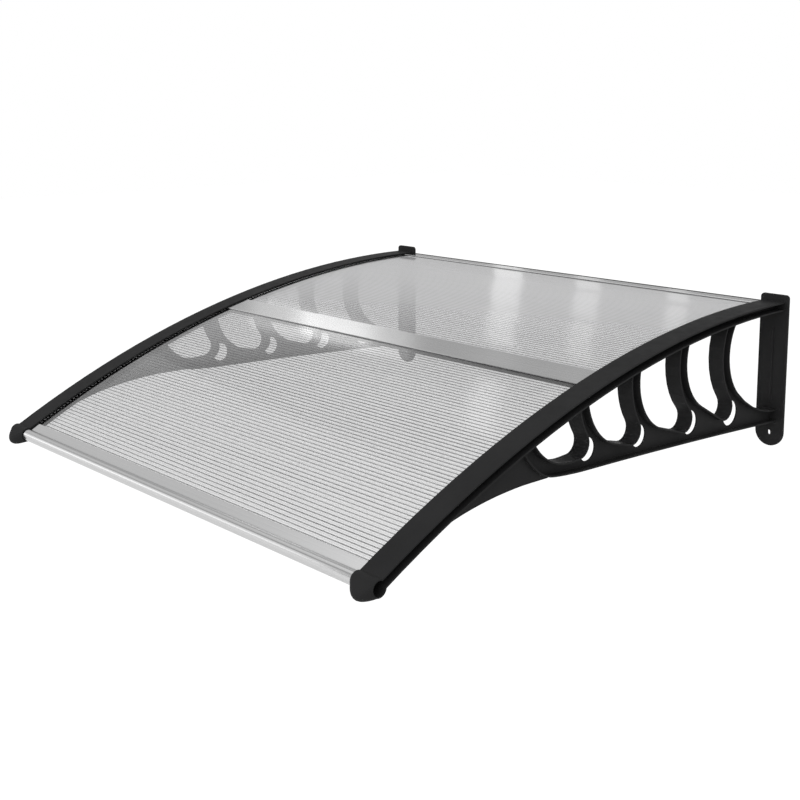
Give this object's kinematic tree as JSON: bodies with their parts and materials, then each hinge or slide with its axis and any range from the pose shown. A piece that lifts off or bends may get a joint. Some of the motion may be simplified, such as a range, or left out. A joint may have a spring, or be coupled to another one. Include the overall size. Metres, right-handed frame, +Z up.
{
  "type": "door canopy",
  "caption": "Curved clear twin-wall sheet held in fretted black wall brackets, with metal bars along the front, the middle and the wall edge, to keep rain off a doorway.",
  "frame": {"origin": "On the wall face, midway between the brackets, at the middle of the wall seal's back.", "axes": "+X along the wall to the right as seen from in front, +Y into the wall, +Z up."},
  "size_m": [1.0156, 1.0084, 0.2822],
  "materials": {
    "bracket_left": "fine satin moulding",
    "bracket_right": "fine satin moulding",
    "sheet_front": "clear, ribbed inside",
    "sheet_rear": "clear, ribbed inside",
    "front_bar": "natural anodised",
    "middle_bar": "natural anodised",
    "rear_bar": "natural anodised",
    "wall_seal": "matt"
  },
  "bodies": {
    "root": {"bracket_left": "bracket_left", "bracket_right": "bracket_right", "sheet_front": "sheet_front", "sheet_rear": "sheet_rear", "front_bar": "front_bar", "middle_bar": "middle_bar", "rear_bar": "rear_bar", "wall_seal": "wall_seal"}
  },
  "joints": []
}
